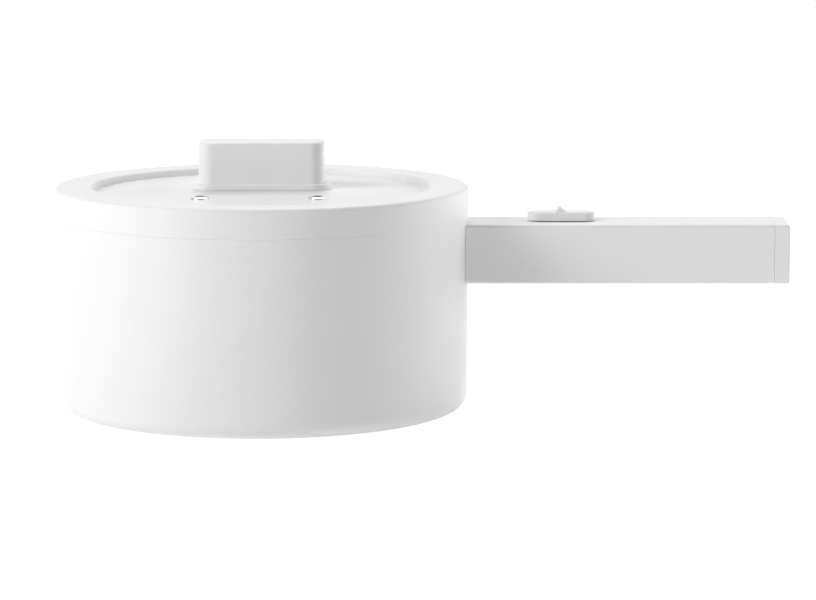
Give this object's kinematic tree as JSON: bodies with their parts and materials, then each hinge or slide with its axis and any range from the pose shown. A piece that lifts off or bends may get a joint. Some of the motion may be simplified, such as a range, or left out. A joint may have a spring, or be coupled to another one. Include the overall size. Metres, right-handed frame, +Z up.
{
  "type": "electric pot",
  "caption": "White countertop electric pot with a lift-off lid, glass lid panel, block knob, and a straight bar handle that carries a slide switch and a mains inlet.",
  "frame": {"origin": "on the pot's axis, on the underside of the foot ring, where the pot meets the table", "axes": "+Z up along the pot's axis, +X along the handle away from the pot, -Y towards the viewer of the picture"},
  "size_m": [0.3334, 0.188, 0.1231],
  "materials": {
    "white_plastic": "satin moulded",
    "matte_white": "fine texture",
    "panel_glass": "pale, back-painted",
    "pan_coating": "non-stick coated",
    "bare_aluminium": "rolled",
    "steel": "brushed",
    "brass": "drawn",
    "pale_silicone": "matte",
    "foot_rubber": "matte",
    "dark_plastic": "moulded",
    "brown_wire": "smooth",
    "black_wire": "smooth",
    "blue_wire": "smooth",
    "green_wire": "smooth"
  },
  "bodies": {
    "pot": {"outer_shell": "white_plastic", "handle_housing": "white_plastic", "handle_end_cap": "white_plastic", "base_cover": "matte_white", "handle_bottom_cover": "matte_white", "inner_pot": "pan_coating", "heat_spreader": "bare_aluminium", "thermal_fuse": "bare_aluminium", "heater_tube": "steel", "heat_shield": "steel", "thermostat_bracket": "steel", "fuse_clip": "steel", "bracket_screws": "steel", "base_screws": "steel", "pot_standoff_1": "steel", "pot_standoff_2": "steel", "pot_standoff_3": "steel", "handle_bracket": "steel", "handle_bracket_screws": "steel", "handle_cover_screws": "steel", "switch_module_screws": "steel", "heater_terminal_1": "brass", "heater_terminal_2": "brass", "switch_terminal_1": "brass", "switch_terminal_2": "brass", "switch_terminal_3": "brass", "inlet_pin_live": "brass", "inlet_pin_neutral": "brass", "inlet_pin_earth": "brass", "pot_rim_seal": "pale_silicone", "foot_ring": "foot_rubber", "thermostat": "dark_plastic", "switch_module": "dark_plastic", "inlet_socket": "dark_plastic", "switch_diode": "dark_plastic", "live_wire": "brown_wire", "switched_wire": "black_wire", "neutral_wire": "blue_wire", "earth_wire": "green_wire"},
    "lid": {"lid_ring": "white_plastic", "lid_glass": "panel_glass", "glass_gasket": "pale_silicone", "lid_retainer": "matte_white", "lid_skirt": "matte_white", "retainer_screws": "steel", "lid_rim_seal": "pale_silicone", "knob": "white_plastic", "knob_base": "white_plastic", "knob_seal": "pale_silicone", "knob_screws": "steel", "knob_washers": "steel", "vent_eyelet_left": "steel", "vent_eyelet_right": "steel"},
    "switch": {"switch_button": "white_plastic", "switch_slider": "matte_white"}
  },
  "joints": [
    {"name": "lid_lift", "type": "slide", "parent": "pot", "child": "lid", "axis": [0, 0, 1], "range_m": [0, 0.12]},
    {"name": "switch_slide", "type": "slide", "parent": "pot", "child": "switch", "axis": [1, 0, 0], "range_m": [-0.004, 0.004]}
  ]
}
